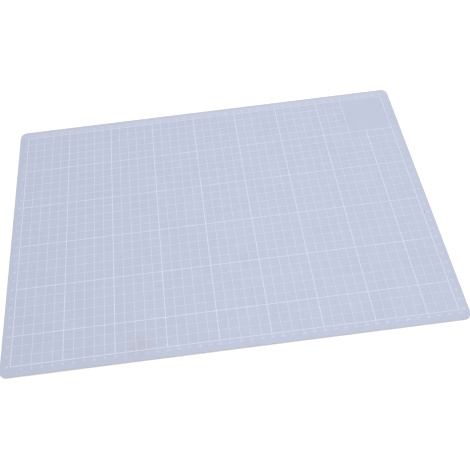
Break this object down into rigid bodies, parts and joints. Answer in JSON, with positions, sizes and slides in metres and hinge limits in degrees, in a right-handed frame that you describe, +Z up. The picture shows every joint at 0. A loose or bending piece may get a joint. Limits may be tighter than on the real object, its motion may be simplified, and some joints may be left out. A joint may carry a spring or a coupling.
{
  "type": "cutting mat",
  "caption": "Flat self-healing craft cutting mat with rounded corners: bonded plastic plies under a printed centimetre grid with heavier five-centimetre lines.",
  "frame": {"origin": "centre of the underside", "axes": "+X along the mat's length, to the right with the near border in front; +Y across its width, from the near border to the far one; +Z up out of the printed face"},
  "size_m": [0.45, 0.3, 0.0021],
  "materials": {
    "skin": "matt pale lavender grey PVC with a fine grain",
    "healing_ply": "soft pale PVC, seen only at the cut edge",
    "core": "stiff pale grey PVC, seen only at the cut edge",
    "ink": "thin matt off-white screen-printing ink"
  },
  "bodies": {
    "root": {"bottom_skin": "skin", "lower_healing_ply": "healing_ply", "stiff_core": "core", "upper_healing_ply": "healing_ply", "top_skin": "skin", "printed_lines_along": "ink", "printed_lines_across": "ink"}
  },
  "joints": []
}
